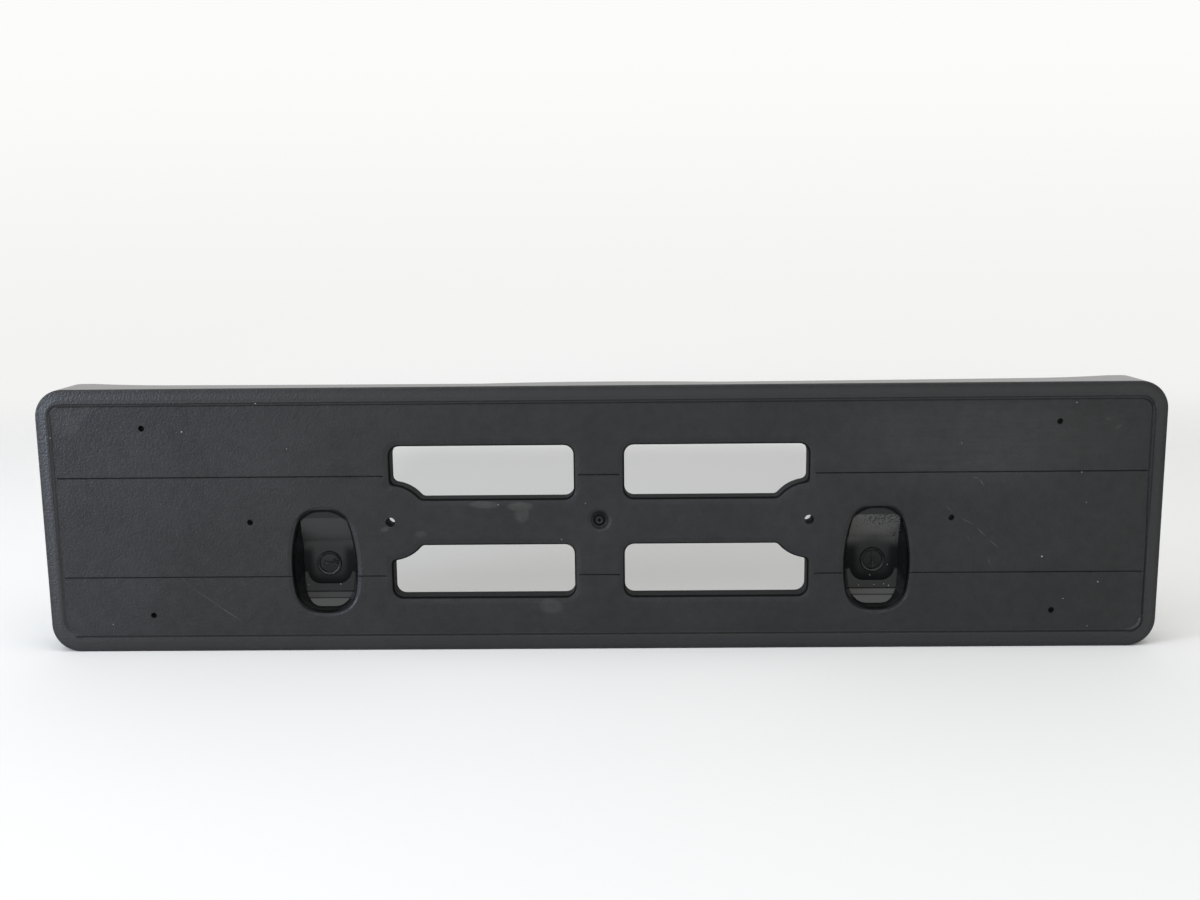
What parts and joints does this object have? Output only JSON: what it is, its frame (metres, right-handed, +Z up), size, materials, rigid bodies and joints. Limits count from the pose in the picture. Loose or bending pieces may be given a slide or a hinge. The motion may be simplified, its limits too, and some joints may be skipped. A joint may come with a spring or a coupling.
{
  "type": "number plate holder",
  "caption": "Black moulded number plate holder with a raised rim, rectangular windows, drafted fixing pockets, screw towers and a skirt that follows the bumper.",
  "frame": {"origin": "midway between the two screw towers, in the plane of their ends on the bumper's side", "axes": "+X along the holder to the right as the plate is read, +Y from the plate towards the car, +Z up"},
  "size_m": [0.5356, 0.025, 0.129],
  "materials": {
    "moulded_plastic": "fine-grained black moulding, satin where it was rubbed"
  },
  "bodies": {
    "root": {"plate_holder": "moulded_plastic"}
  },
  "joints": []
}
